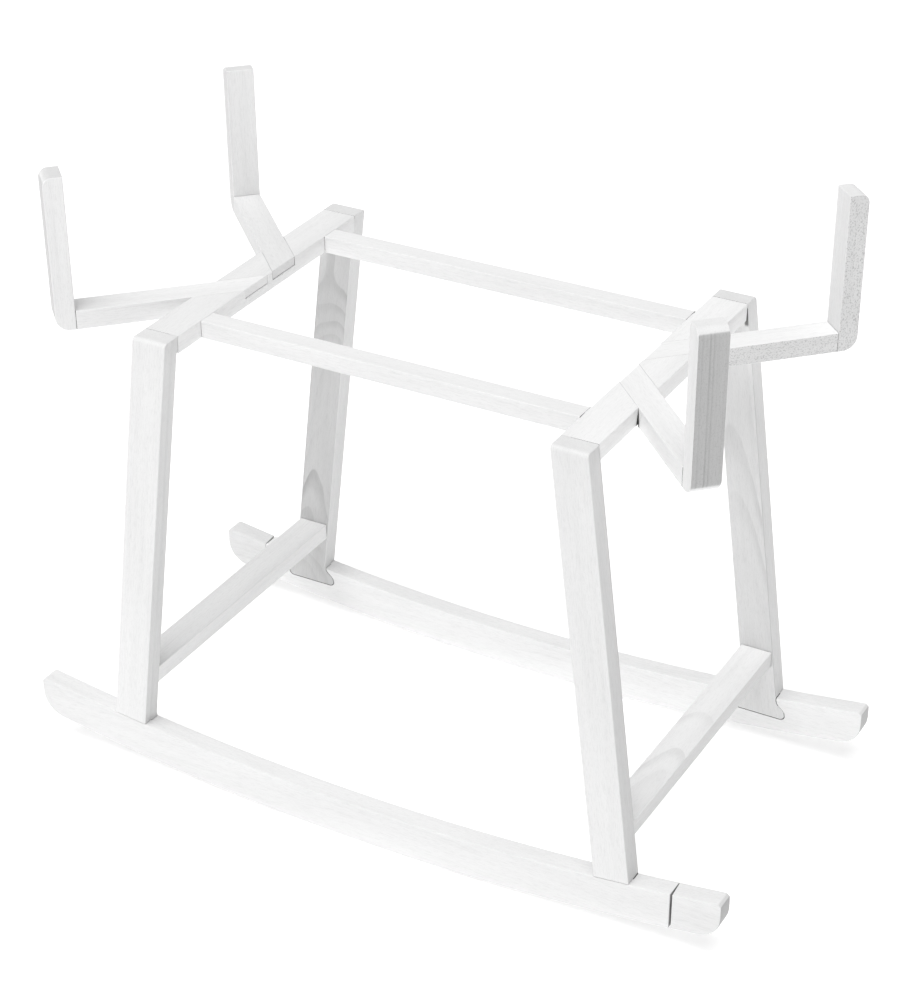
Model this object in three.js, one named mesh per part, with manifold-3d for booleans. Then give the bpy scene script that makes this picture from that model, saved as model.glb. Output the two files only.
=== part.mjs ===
// Rocking stand for a basket bed, in white-glazed beech.
//
// Frame: X runs along the rockers, Y from front to rear, Z up, in millimetres. The origin lies on
// the floor under the middle of the stand. The stand is the same when it is turned half round.

import * as THREE from "three";
import { mergeVertices } from "three/addons/utils/BufferGeometryUtils.js";
import Module from "manifold-3d";

const wasm = await Module();
wasm.setup();

// ---- Driving dimensions -------------------------------------------------------------------------

// The two end frames and how the legs lean and splay
const FRAME_HEIGHT = 564; // floor to the top of the frame
const FRAME_LENGTH = 536; // over the outer edges of the end rails
const FRAME_DEPTH = 406; // over the legs, front to rear, at the top
const FOOT_LENGTH = 664; // over the legs, left to right, where they meet the rockers
const FOOT_DEPTH = 420; // over the rockers, front to rear

// Timber sections
const LEG_WIDTH = 42;
const LEG_THICKNESS = 24;
const RAIL_THICKNESS = 20;
const STRETCHER_WIDTH = 38;
const STRETCHER_THICKNESS = 20;
const LONG_RAIL_WIDTH = 24;
const LONG_RAIL_HEIGHT = 20;
const ARM_WIDTH = 32;
const ARM_THICKNESS = 22;
const UPRIGHT_THICKNESS = 22;

// Rockers
const ROCKER_LENGTH = 876;
const ROCKER_HEIGHT = 48;
const ROCKER_RADIUS = 2670; // the edge that rolls on the floor
const ROCKER_TOP_RADIUS = 2950;
const ROCKER_END_RADIUS = 30;
const ROCKER_TIP_RADIUS = 4;

// Cross pieces
const LONG_RAIL_SPREAD = 274; // over the two long rails, front to rear
const STRETCHER_TOP = 129; // floor to the top of the lower stretchers
const STRETCHER_SETBACK = 1; // behind the legs' outer faces

// Arms and uprights that hold the basket's corners
const ARM_ANGLE = Math.PI / 4; // from the long axis
const ARM_TAIL_SPACE = 8.75; // between the front and rear arms at an end rail's inner face
const ARM_REACH = 143; // from an end rail's outer face to an upright, along the arm
const ARM_SETBACK = 1; // of an arm's cut end behind the end rail's inner face
const UPRIGHT_HEIGHT = 154; // above the top of the frame
const LAP_DEPTH = 10; // of an arm's tongue in the end rail

// Dovetailed foot of a leg, let into the inner face of a rocker
const FOOT_DROP = 25;
const FOOT_FLARE = 12;
const FOOT_CORNER = 6;
const FOOT_INSET = 12; // into the rocker's thickness

// Turning end piece of a rocker: turned half over, its straight edge stands on the floor
const STOP_LENGTH = 58;
const STOP_RELIEF = 2; // bevel of its end grain, so that the joint opens outward

// Rounded edges
const LEG_TOP_RADIUS = 5;
const UPRIGHT_TOP_RADIUS = 10;
const UPRIGHT_FOOT_RADIUS = 16;

// Dowels, screws and bolts
const DOWEL_RADIUS = 4;
const DOWEL_END_GAP = 1;
const DOWEL_CHAMFER = 1;
const FRAME_DOWEL = { shallow: 14, deep: 22, spacing: 20 }; // shallow side in the leg
const UPRIGHT_DOWEL = { shallow: 12, deep: 20, spacing: 15 }; // shallow side in the upright
const LONG_DOWEL = { shallow: 18, deep: 22 }; // shallow side in the end rail
const SCREW = { length: 15.5, shank: 1.8, head: 3.8, headHeight: 2.4 };
const BOLT = { radius: 3, woodLength: 32, threadLength: 26, tip: 4 };
const INSERT = { radius: 5, length: 15 };

// Clearances
const GAP = 0.3; // between pieces that touch
const HOLE_GAP = 0.3; // all round a dowel, screw or bolt
const FOOT_GAP = 0.5; // round a dovetailed foot in its pocket
const CUT_MARGIN = 1; // by which a cutter passes the face it opens
const WELD_DISTANCE = 1e-4; // corners closer than this are one corner

// Fineness of the round shapes
const ROUND_SEGMENTS = 16;
const FLOOR_SEGMENTS = 21; // odd, so that the stand rests on a level facet
const CORNER_SEGMENTS = 6;

// ---- Derived places -----------------------------------------------------------------------------

const frameEnd = FRAME_LENGTH / 2;
const railBottom = FRAME_HEIGHT - RAIL_THICKNESS;
const railInner = frameEnd - LEG_WIDTH;
const footEnd = FOOT_LENGTH / 2;
const rockerOuter = FOOT_DEPTH / 2;
const rockerInner = rockerOuter - LEG_THICKNESS;
const longRailMiddle = (LONG_RAIL_SPREAD - LONG_RAIL_WIDTH) / 2;
const stopStart = ROCKER_LENGTH / 2 - STOP_LENGTH;
const footMiddle = footEnd - LEG_WIDTH / 2;
const shoulderHeight = rockerTop(footEnd);
// Across an arm at the end rail's inner face its half width is longer, measured from front to rear
const armSpread = ARM_TAIL_SPACE + 2 * LEG_WIDTH * Math.tan(ARM_ANGLE) + ARM_WIDTH / Math.cos(ARM_ANGLE);
const legHeight = FRAME_HEIGHT - shoulderHeight;
const legLean = (footEnd - frameEnd) / legHeight;
const legSplay = (FOOT_DEPTH - FRAME_DEPTH) / 2 / legHeight;
// Turned half over, the stop's top tip comes down to the floor
const stopAxis = rockerTop(ROCKER_LENGTH / 2) / 2;

/** Height of a rocker's bottom edge at a distance from the middle. */
function rockerBottom(x) {
  return ROCKER_RADIUS - Math.sqrt(ROCKER_RADIUS ** 2 - x ** 2);
}

/** Height of a rocker's top edge at a distance from the middle. */
function rockerTop(x) {
  return ROCKER_HEIGHT + ROCKER_TOP_RADIUS - Math.sqrt(ROCKER_TOP_RADIUS ** 2 - x ** 2);
}

/** Outer edge of a leg at a height, as a distance from the middle along X. */
function legOuter(z) {
  return frameEnd + legLean * (FRAME_HEIGHT - z);
}

/** Inner face of a leg at a height, as a distance from the middle along Y. */
function legInnerFace(z) {
  return FRAME_DEPTH / 2 - LEG_THICKNESS + legSplay * (FRAME_HEIGHT - z);
}

// ---- Solid modelling ----------------------------------------------------------------------------

/** A solid from a closed geometry. */
function solid(geometry) {
  const bare = geometry.index ? geometry.toNonIndexed() : geometry.clone();
  bare.deleteAttribute("normal");
  bare.deleteAttribute("uv");
  const merged = mergeVertices(bare, WELD_DISTANCE);
  return new wasm.Manifold(
    new wasm.Mesh({
      numProp: 3,
      vertProperties: new Float32Array(merged.attributes.position.array),
      triVerts: new Uint32Array(merged.index.array),
    }),
  );
}

/** The geometry of a solid. */
function geometryOf(body) {
  const mesh = body.getMesh();
  const geometry = new THREE.BufferGeometry();
  geometry.setAttribute("position", new THREE.BufferAttribute(mesh.vertProperties, 3));
  geometry.setIndex(new THREE.BufferAttribute(mesh.triVerts, 1));
  const flat = geometry.toNonIndexed();
  flat.computeVertexNormals();
  return flat;
}

/** A body less every cutter. */
function cut(body, cutters) {
  return cutters.reduce((rest, cutter) => rest.subtract(cutter), body);
}

/** A box between two corners. */
function box(low, high) {
  const size = high.map((value, axis) => value - low[axis]);
  const geometry = new THREE.BoxGeometry(...size);
  geometry.translate(...low.map((value, axis) => value + size[axis] / 2));
  return geometry;
}

/** An outline in the XZ plane, given as a Shape of (x, z), carried along Y between two planes. */
function extrudeAlongY(shape, yLow, yHigh, curveSegments = CORNER_SEGMENTS) {
  const geometry = new THREE.ExtrudeGeometry(shape, {
    depth: yHigh - yLow,
    bevelEnabled: false,
    curveSegments,
  });
  geometry.rotateX(Math.PI / 2);
  geometry.translate(0, yHigh, 0);
  return geometry;
}

/** An outline in the YZ plane, given as a Shape of (y, z), carried along X between two planes. */
function extrudeAlongX(shape, xLow, xHigh) {
  const geometry = new THREE.ExtrudeGeometry(shape, {
    depth: xHigh - xLow,
    bevelEnabled: false,
    curveSegments: CORNER_SEGMENTS,
  });
  geometry.applyMatrix4(new THREE.Matrix4().makeBasis(
    new THREE.Vector3(0, 1, 0),
    new THREE.Vector3(0, 0, 1),
    new THREE.Vector3(1, 0, 0),
  ));
  geometry.translate(xLow, 0, 0);
  return geometry;
}

/** A round bar turned from (radius, distance) points and laid from a point along a direction. */
function turned(profile, from, direction, segments = ROUND_SEGMENTS) {
  const geometry = new THREE.LatheGeometry(
    profile.map(([radius, along]) => new THREE.Vector2(radius, along)),
    segments,
  );
  const turn = new THREE.Quaternion().setFromUnitVectors(
    new THREE.Vector3(0, 1, 0),
    direction.clone().normalize(),
  );
  geometry.applyQuaternion(turn);
  geometry.translate(from.x, from.y, from.z);
  return geometry;
}

/** A plain round hole or bar. */
function rod(radius, length, from, direction) {
  return turned([[0, 0], [radius, 0], [radius, length], [0, length]], from, direction);
}

/** A geometry mirrored to the left (side -1 in X) or to the front (side -1 in Y). */
function mirrored(geometry, sideX, sideY) {
  const copy = geometry.clone();
  copy.scale(sideX, sideY, 1);
  if (sideX * sideY > 0) {
    return copy;
  }
  const flat = copy.index ? copy.toNonIndexed() : copy;
  const position = flat.attributes.position;
  const second = new THREE.Vector3();
  const third = new THREE.Vector3();
  for (let corner = 0; corner < position.count; corner += 3) {
    second.fromBufferAttribute(position, corner + 1);
    third.fromBufferAttribute(position, corner + 2);
    position.setXYZ(corner + 1, third.x, third.y, third.z);
    position.setXYZ(corner + 2, second.x, second.y, second.z);
  }
  flat.computeVertexNormals();
  return flat;
}

// ---- Materials ----------------------------------------------------------------------------------

/** Beech under a thin white glaze, which lets the grain show. */
function glazedBeech() {
  return new THREE.MeshStandardMaterial({ color: 0xf2efe9, roughness: 0.6, metalness: 0 });
}

/** Plain beech of the dowels inside the joints. */
function plainBeech() {
  return new THREE.MeshStandardMaterial({ color: 0xd9b68c, roughness: 0.75, metalness: 0 });
}

/** Zinc-plated steel of the screws and bolts. */
function zincedSteel() {
  return new THREE.MeshStandardMaterial({ color: 0xb9bcbe, roughness: 0.35, metalness: 1 });
}

const stand = new THREE.Group();

/** Puts a named piece into the stand. */
function add(name, geometry, material) {
  const mesh = new THREE.Mesh(geometry, material);
  mesh.name = name;
  stand.add(mesh);
}

// ---- Dowels -------------------------------------------------------------------------------------

/**
 * A dowel and its hole across a joint plane: the point on the plane, the direction out of the deep
 * side, and how deep the hole goes on both sides.
 */
function dowelAt(point, direction, depth) {
  const along = direction.clone().normalize();
  const start = point.clone().addScaledVector(along, -depth.deep);
  const holeLength = depth.deep + depth.shallow;
  const length = holeLength - 2 * DOWEL_END_GAP;
  const end = DOWEL_RADIUS - DOWEL_CHAMFER;
  const profile = [
    [0, 0],
    [end, 0],
    [DOWEL_RADIUS, DOWEL_CHAMFER],
    [DOWEL_RADIUS, length - DOWEL_CHAMFER],
    [end, length],
    [0, length],
  ];
  return {
    dowel: turned(profile, start.clone().addScaledVector(along, DOWEL_END_GAP), along),
    hole: solid(rod(DOWEL_RADIUS + HOLE_GAP, holeLength, start, along)),
  };
}

/** The two dowels between a level board and a leg, at the board's rear right end. */
function frameDowels(middle, height) {
  const along = new THREE.Vector3(0, 1, 0);
  return [-1, 1].map((side) => {
    const x = middle + (side * FRAME_DOWEL.spacing) / 2;
    return dowelAt(new THREE.Vector3(x, legInnerFace(height), height), along, FRAME_DOWEL);
  });
}

const railDowels = frameDowels(frameEnd - LEG_WIDTH / 2, FRAME_HEIGHT - RAIL_THICKNESS / 2);
const stretcherOuter = legOuter(STRETCHER_TOP) - STRETCHER_SETBACK;
const stretcherDowels = frameDowels(
  stretcherOuter - STRETCHER_WIDTH / 2,
  STRETCHER_TOP - STRETCHER_THICKNESS / 2,
);
const longRailDowel = dowelAt(
  new THREE.Vector3(railInner, longRailMiddle, FRAME_HEIGHT - LONG_RAIL_HEIGHT / 2),
  new THREE.Vector3(1, 0, 0),
  LONG_DOWEL,
);

// ---- Rockers and their turning ends -------------------------------------------------------------

/** Outline of a whole rocker in (x, z), with its top edge raised by an allowance. */
function rockerOutline(allowance = 0) {
  const tip = ROCKER_LENGTH / 2;
  const top = rockerTop(tip) + allowance;
  // The end's large corner touches both the floor arc and the upright end
  const cornerX = tip - ROCKER_END_RADIUS;
  const cornerZ = ROCKER_RADIUS - Math.sqrt((ROCKER_RADIUS - ROCKER_END_RADIUS) ** 2 - cornerX ** 2);
  const touch = Math.atan2(cornerX, ROCKER_RADIUS - cornerZ);
  const points = [];
  for (let step = 0; step <= FLOOR_SEGMENTS; step += 1) {
    const angle = touch * ((2 * step) / FLOOR_SEGMENTS - 1);
    points.push([ROCKER_RADIUS * Math.sin(angle), ROCKER_RADIUS * (1 - Math.cos(angle))]);
  }
  for (let step = 1; step <= CORNER_SEGMENTS; step += 1) {
    const angle = touch + (Math.PI / 2 - touch) * (step / CORNER_SEGMENTS);
    points.push([
      cornerX + ROCKER_END_RADIUS * Math.sin(angle),
      cornerZ - ROCKER_END_RADIUS * Math.cos(angle),
    ]);
  }
  points.push([tip, top - ROCKER_TIP_RADIUS]);
  for (let step = 0; step <= FLOOR_SEGMENTS; step += 1) {
    const x = (tip - ROCKER_TIP_RADIUS) * (1 - (2 * step) / FLOOR_SEGMENTS);
    points.push([x, rockerTop(x) + allowance]);
  }
  points.push([-tip, top - ROCKER_TIP_RADIUS]);
  for (let step = CORNER_SEGMENTS; step >= 1; step -= 1) {
    const angle = touch + (Math.PI / 2 - touch) * (step / CORNER_SEGMENTS);
    points.push([
      -cornerX - ROCKER_END_RADIUS * Math.sin(angle),
      cornerZ - ROCKER_END_RADIUS * Math.cos(angle),
    ]);
  }
  return new THREE.Shape(points.map(([x, z]) => new THREE.Vector2(x, z)));
}

/** Outline in (x, z) of a leg's dovetailed foot, grown all round by a clearance. */
function footOutline(grow = 0) {
  const neck = LEG_WIDTH / 2 + grow;
  const wide = neck + FOOT_FLARE;
  const top = shoulderHeight + FOOT_CORNER;
  const shoulder = rockerTop(footMiddle);
  const bottom = shoulder - FOOT_DROP - grow;
  const half = (shoulder - bottom - FOOT_CORNER) / 2;
  const shape = new THREE.Shape();
  shape.moveTo(footMiddle - neck, top);
  shape.lineTo(footMiddle - neck, shoulder);
  shape.bezierCurveTo(
    footMiddle - neck, shoulder - half,
    footMiddle - wide, shoulder - half,
    footMiddle - wide, bottom + FOOT_CORNER,
  );
  shape.absarc(footMiddle - wide + FOOT_CORNER, bottom + FOOT_CORNER, FOOT_CORNER,
    Math.PI, 1.5 * Math.PI);
  shape.absarc(footMiddle + wide - FOOT_CORNER, bottom + FOOT_CORNER, FOOT_CORNER,
    1.5 * Math.PI, 2 * Math.PI);
  shape.bezierCurveTo(
    footMiddle + wide, shoulder - half,
    footMiddle + neck, shoulder - half,
    footMiddle + neck, shoulder,
  );
  shape.lineTo(footMiddle + neck, top);
  return shape;
}

/** The rear rocker's blank, before it is cut. */
const rockerBlank = solid(extrudeAlongY(rockerOutline(), rockerInner, rockerOuter));

/** The space behind the joint plane of the turning end, with a bevel that opens outward. */
function stopSpace() {
  const far = ROCKER_LENGTH;
  const shape = new THREE.Shape();
  shape.moveTo(stopStart + GAP, rockerInner - CUT_MARGIN);
  shape.lineTo(far, rockerInner - CUT_MARGIN);
  shape.lineTo(far, rockerOuter + CUT_MARGIN);
  shape.lineTo(stopStart + GAP + STOP_RELIEF, rockerOuter + CUT_MARGIN);
  return new THREE.ExtrudeGeometry(shape, { depth: FRAME_HEIGHT, bevelEnabled: false });
}

const boltMiddle = new THREE.Vector3(stopStart, rockerInner + LEG_THICKNESS / 2, stopAxis);
const boltDirection = new THREE.Vector3(1, 0, 0);
const boltStart = boltMiddle.clone().addScaledVector(boltDirection, -BOLT.threadLength);

/** The pivot bolt: machine thread on the rocker's side, wood thread and tip on the stop's side. */
function stopBolt() {
  const length = BOLT.threadLength + BOLT.woodLength;
  const profile = [
    [0, 0],
    [BOLT.radius, 0],
    [BOLT.radius, length - BOLT.tip],
    [0, length],
  ];
  return turned(profile, boltStart, boltDirection);
}

/** The threaded sleeve in the end grain of the rocker. */
function stopInsert() {
  const inner = BOLT.radius + HOLE_GAP;
  const profile = [
    [inner, 0],
    [INSERT.radius, 0],
    [INSERT.radius, INSERT.length],
    [inner, INSERT.length],
    [inner, 0],
  ];
  const start = boltMiddle.clone().addScaledVector(boltDirection, -INSERT.length - GAP);
  return turned(profile, start, boltDirection);
}

/** The rear rocker, laid out with its turning end at +X. */
function rocker() {
  const pockets = [-1, 1].map((side) => {
    const pocket = extrudeAlongY(
      footOutline(FOOT_GAP),
      rockerInner - CUT_MARGIN,
      rockerInner + FOOT_INSET + GAP,
    );
    return solid(mirrored(pocket, side, 1));
  });
  const boltHole = rod(
    BOLT.radius + HOLE_GAP,
    BOLT.threadLength + DOWEL_END_GAP + CUT_MARGIN,
    boltMiddle.clone().addScaledVector(boltDirection, CUT_MARGIN),
    boltDirection.clone().negate(),
  );
  const insertHole = rod(
    INSERT.radius + HOLE_GAP,
    INSERT.length + 2 * GAP + CUT_MARGIN,
    boltMiddle.clone().addScaledVector(boltDirection, CUT_MARGIN),
    boltDirection.clone().negate(),
  );
  const beyondStop = box(
    [stopStart, rockerInner - CUT_MARGIN, -CUT_MARGIN],
    [ROCKER_LENGTH, rockerOuter + CUT_MARGIN, FRAME_HEIGHT],
  );
  return cut(rockerBlank, [...pockets, solid(boltHole), solid(insertHole), solid(beyondStop)]);
}

/** The turning end of the rear rocker, laid out at +X. */
function rockerStop() {
  const boltHole = rod(
    BOLT.radius + HOLE_GAP,
    BOLT.woodLength + DOWEL_END_GAP,
    boltMiddle,
    boltDirection,
  );
  return cut(rockerBlank.intersect(solid(stopSpace())), [solid(boltHole)]);
}

// ---- Legs ---------------------------------------------------------------------------------------

/** The rear right leg: a leaning, splayed post that stands on the rocker, and its foot. */
function leg() {
  const outer = FRAME_DEPTH / 2;
  const inner = outer - LEG_THICKNESS;
  const low = rockerTop(footEnd - LEG_WIDTH) - FOOT_CORNER;
  const shape = new THREE.Shape();
  shape.moveTo(inner, low);
  shape.lineTo(outer, low);
  shape.lineTo(outer, FRAME_HEIGHT - LEG_TOP_RADIUS);
  shape.absarc(outer - LEG_TOP_RADIUS, FRAME_HEIGHT - LEG_TOP_RADIUS, LEG_TOP_RADIUS, 0, Math.PI / 2);
  shape.lineTo(inner, FRAME_HEIGHT);
  const post = extrudeAlongX(shape, railInner, frameEnd);
  // The lean and the splay shift each level of the post outward, and leave the top where it is
  post.translate(0, 0, -FRAME_HEIGHT);
  post.applyMatrix4(new THREE.Matrix4().set(
    1, 0, -legLean, 0,
    0, 1, -legSplay, 0,
    0, 0, 1, 0,
    0, 0, 0, 1,
  ));
  post.translate(0, 0, FRAME_HEIGHT);
  const seat = extrudeAlongY(rockerOutline(GAP), rockerInner - LEG_THICKNESS, rockerOuter + LEG_THICKNESS);
  const foot = extrudeAlongY(footOutline(), rockerInner, rockerInner + FOOT_INSET);
  // Above the rocker the foot stays within the post
  const above = solid(post);
  const footBelow = solid(foot).subtract(solid(box(
    [0, 0, shoulderHeight + 2 * GAP],
    [ROCKER_LENGTH, FOOT_DEPTH, FRAME_HEIGHT],
  )));
  const stem = cut(above, [solid(seat)]).add(footBelow);
  return cut(stem, [...railDowels, ...stretcherDowels].map((joint) => joint.hole));
}

// ---- Arms and uprights --------------------------------------------------------------------------

/** Lays a geometry of (along the arm, across it, height) out at the rear right arm's place. */
function alongArm(geometry) {
  const copy = geometry.clone();
  copy.rotateZ(ARM_ANGLE);
  copy.translate(frameEnd, armSpread / 2, 0);
  return copy;
}

/** Distance along the arm's centre line from the end rail's outer face back to its inner face. */
const lapLength = LEG_WIDTH / Math.cos(ARM_ANGLE);
const armTail = lapLength + ARM_WIDTH * Math.tan(ARM_ANGLE);
const armDirection = new THREE.Vector3(Math.cos(ARM_ANGLE), Math.sin(ARM_ANGLE), 0);
const acrossArm = new THREE.Vector3(-Math.sin(ARM_ANGLE), Math.cos(ARM_ANGLE), 0);
const armRoot = new THREE.Vector3(frameEnd, armSpread / 2, 0);

const uprightDowels = [-1, 1].map((side) => {
  const point = armRoot.clone()
    .addScaledVector(armDirection, ARM_REACH)
    .addScaledVector(acrossArm, (side * UPRIGHT_DOWEL.spacing) / 2)
    .setZ(FRAME_HEIGHT - ARM_THICKNESS / 2);
  return dowelAt(point, armDirection, UPRIGHT_DOWEL);
});

/** Where the screw from below passes through the lap: its head's face and the way it points. */
const screwPoint = armRoot.clone()
  .addScaledVector(armDirection, -lapLength / 2)
  .setZ(railBottom + GAP);
const upward = new THREE.Vector3(0, 0, 1);

/** Outline of the countersunk screw, grown by a clearance. */
function screwProfile(grow = 0) {
  return [
    [0, 0],
    [SCREW.head + grow, 0],
    [SCREW.shank + grow, SCREW.headHeight],
    [SCREW.shank + grow, SCREW.length - SCREW.shank],
    [0, SCREW.length + grow],
  ];
}

/** The hole for the screw, open to below. */
function screwHole() {
  const profile = screwProfile(HOLE_GAP);
  const below = [[0, -CUT_MARGIN], [SCREW.head + HOLE_GAP, -CUT_MARGIN]];
  return solid(turned([...below, ...profile.slice(1)], screwPoint, upward));
}

/** The rear right arm, halved into the end rail at its inner end. */
function arm() {
  const bar = alongArm(box(
    [-armTail, -ARM_WIDTH / 2, FRAME_HEIGHT - ARM_THICKNESS],
    [ARM_REACH - GAP, ARM_WIDTH / 2, FRAME_HEIGHT],
  ));
  const pastRail = box(
    [0, 0, 0],
    [railInner + ARM_SETBACK, FOOT_DEPTH, 2 * FRAME_HEIGHT],
  );
  const underLap = box(
    [0, -FOOT_DEPTH, 0],
    [frameEnd + GAP, FOOT_DEPTH, FRAME_HEIGHT - LAP_DEPTH],
  );
  const pastMiddle = box(
    [0, -FOOT_DEPTH, 0],
    [railInner + ARM_SETBACK, 0, 2 * FRAME_HEIGHT],
  );
  return cut(solid(bar), [
    solid(pastRail),
    solid(pastMiddle),
    solid(underLap),
    screwHole(),
    ...uprightDowels.map((joint) => joint.hole),
  ]);
}

/** The rear right upright, which stands against the end of its arm. */
function upright() {
  const inner = ARM_REACH;
  const outer = ARM_REACH + UPRIGHT_THICKNESS;
  const bottom = FRAME_HEIGHT - ARM_THICKNESS;
  const top = FRAME_HEIGHT + UPRIGHT_HEIGHT;
  const shape = new THREE.Shape();
  shape.moveTo(inner, bottom);
  shape.lineTo(outer - UPRIGHT_FOOT_RADIUS, bottom);
  shape.absarc(outer - UPRIGHT_FOOT_RADIUS, bottom + UPRIGHT_FOOT_RADIUS, UPRIGHT_FOOT_RADIUS,
    1.5 * Math.PI, 2 * Math.PI);
  shape.lineTo(outer, top - UPRIGHT_TOP_RADIUS);
  shape.absarc(outer - UPRIGHT_TOP_RADIUS, top - UPRIGHT_TOP_RADIUS, UPRIGHT_TOP_RADIUS,
    0, Math.PI / 2);
  shape.lineTo(inner, top);
  const board = alongArm(extrudeAlongY(shape, -ARM_WIDTH / 2, ARM_WIDTH / 2));
  return cut(solid(board), uprightDowels.map((joint) => joint.hole));
}

// ---- Rails --------------------------------------------------------------------------------------

/** A level board between the rear and front legs of the right end, its ends cut to the splay. */
function crossBoard(xLow, xHigh, top, thickness) {
  const bottom = top - thickness;
  const shape = new THREE.Shape();
  shape.moveTo(-legInnerFace(bottom) + GAP, bottom);
  shape.lineTo(legInnerFace(bottom) - GAP, bottom);
  shape.lineTo(legInnerFace(top) - GAP, top);
  shape.lineTo(-legInnerFace(top) + GAP, top);
  return solid(extrudeAlongX(shape, xLow, xHigh));
}

/** Holes of a rear joint and the same holes at the front. */
function frontAndRear(holes) {
  return [...holes, ...holes.map((hole) => solid(mirrored(geometryOf(hole), 1, -1)))];
}

/** The right end rail, with notches for its two arms. */
function endRail() {
  const notch = solid(alongArm(box(
    [-2 * armTail, -ARM_WIDTH / 2 - GAP, FRAME_HEIGHT - LAP_DEPTH - GAP],
    [armTail, ARM_WIDTH / 2 + GAP, FRAME_HEIGHT + CUT_MARGIN],
  )));
  const holes = frontAndRear([
    notch,
    screwHole(),
    longRailDowel.hole,
    ...railDowels.map((joint) => joint.hole),
  ]);
  return cut(crossBoard(railInner, frameEnd, FRAME_HEIGHT, RAIL_THICKNESS), holes);
}

/** The right lower stretcher. */
function stretcher() {
  const board = crossBoard(
    stretcherOuter - STRETCHER_WIDTH,
    stretcherOuter,
    STRETCHER_TOP,
    STRETCHER_THICKNESS,
  );
  return cut(board, frontAndRear(stretcherDowels.map((joint) => joint.hole)));
}

/** The rear long rail between the two end rails. */
function longRail() {
  const bar = solid(box(
    [GAP - railInner, longRailMiddle - LONG_RAIL_WIDTH / 2, FRAME_HEIGHT - LONG_RAIL_HEIGHT],
    [railInner - GAP, longRailMiddle + LONG_RAIL_WIDTH / 2, FRAME_HEIGHT],
  ));
  const hole = longRailDowel.hole;
  return cut(bar, [hole, solid(mirrored(geometryOf(hole), -1, 1))]);
}

// ---- The stand ----------------------------------------------------------------------------------

const shapes = {
  leg: geometryOf(leg()),
  arm: geometryOf(arm()),
  upright: geometryOf(upright()),
  endRail: geometryOf(endRail()),
  stretcher: geometryOf(stretcher()),
  longRail: geometryOf(longRail()),
  rocker: geometryOf(rocker()),
  stop: geometryOf(rockerStop()),
};

const SIDES_X = { left: -1, right: 1 };
const SIDES_Y = { front: -1, rear: 1 };

for (const [sideX, x] of Object.entries(SIDES_X)) {
  add(`end_rail_${sideX}`, mirrored(shapes.endRail, x, 1), glazedBeech());
  add(`stretcher_${sideX}`, mirrored(shapes.stretcher, x, 1), glazedBeech());
  for (const [sideY, y] of Object.entries(SIDES_Y)) {
    const corner = `${sideY}_${sideX}`;
    add(`leg_${corner}`, mirrored(shapes.leg, x, y), glazedBeech());
    add(`arm_${corner}`, mirrored(shapes.arm, x, y), glazedBeech());
    add(`upright_${corner}`, mirrored(shapes.upright, x, y), glazedBeech());
    add(`arm_screw_${corner}`, mirrored(turned(screwProfile(), screwPoint, upward), x, y), zincedSteel());
    add(`long_rail_dowel_${corner}`, mirrored(longRailDowel.dowel, x, y), plainBeech());
    const pairs = {
      end_rail_dowel: railDowels,
      stretcher_dowel: stretcherDowels,
      upright_dowel: uprightDowels,
    };
    for (const [kind, joints] of Object.entries(pairs)) {
      joints.forEach((joint, index) => {
        add(`${kind}_${corner}_${index + 1}`, mirrored(joint.dowel, x, y), plainBeech());
      });
    }
  }
}

// The front rocker is the rear one turned half round, so the stops lie at opposite corners
for (const [sideY, y] of Object.entries(SIDES_Y)) {
  const end = -y;
  add(`long_rail_${sideY}`, mirrored(shapes.longRail, 1, y), glazedBeech());
  add(`rocker_${sideY}`, mirrored(shapes.rocker, end, y), glazedBeech());
  add(`rocker_stop_${sideY}`, mirrored(shapes.stop, end, y), glazedBeech());
  add(`stop_bolt_${sideY}`, mirrored(stopBolt(), end, y), zincedSteel());
  add(`stop_insert_${sideY}`, mirrored(stopInsert(), end, y), zincedSteel());
}

export default stand;
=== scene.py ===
"""Rocking stand for a basket bed: finishes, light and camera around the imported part.

The frame gives every piece's solid in metres, X along the rockers, Y from front to rear, Z up. Each
wooden piece is taken over from its solid with eased edges and a finish of its own, because no two
boards of one stand have the same grain. Dowels, screws and bolts are turned anew with their grooves
and threads.
"""

from __future__ import annotations

import logging
import math
from collections.abc import Callable
from dataclasses import astuple, dataclass
from enum import Enum

import bmesh
import bpy
import numpy as np
from mathutils import Euler, Matrix, Vector
from mathutils.bvhtree import BVHTree

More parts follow.
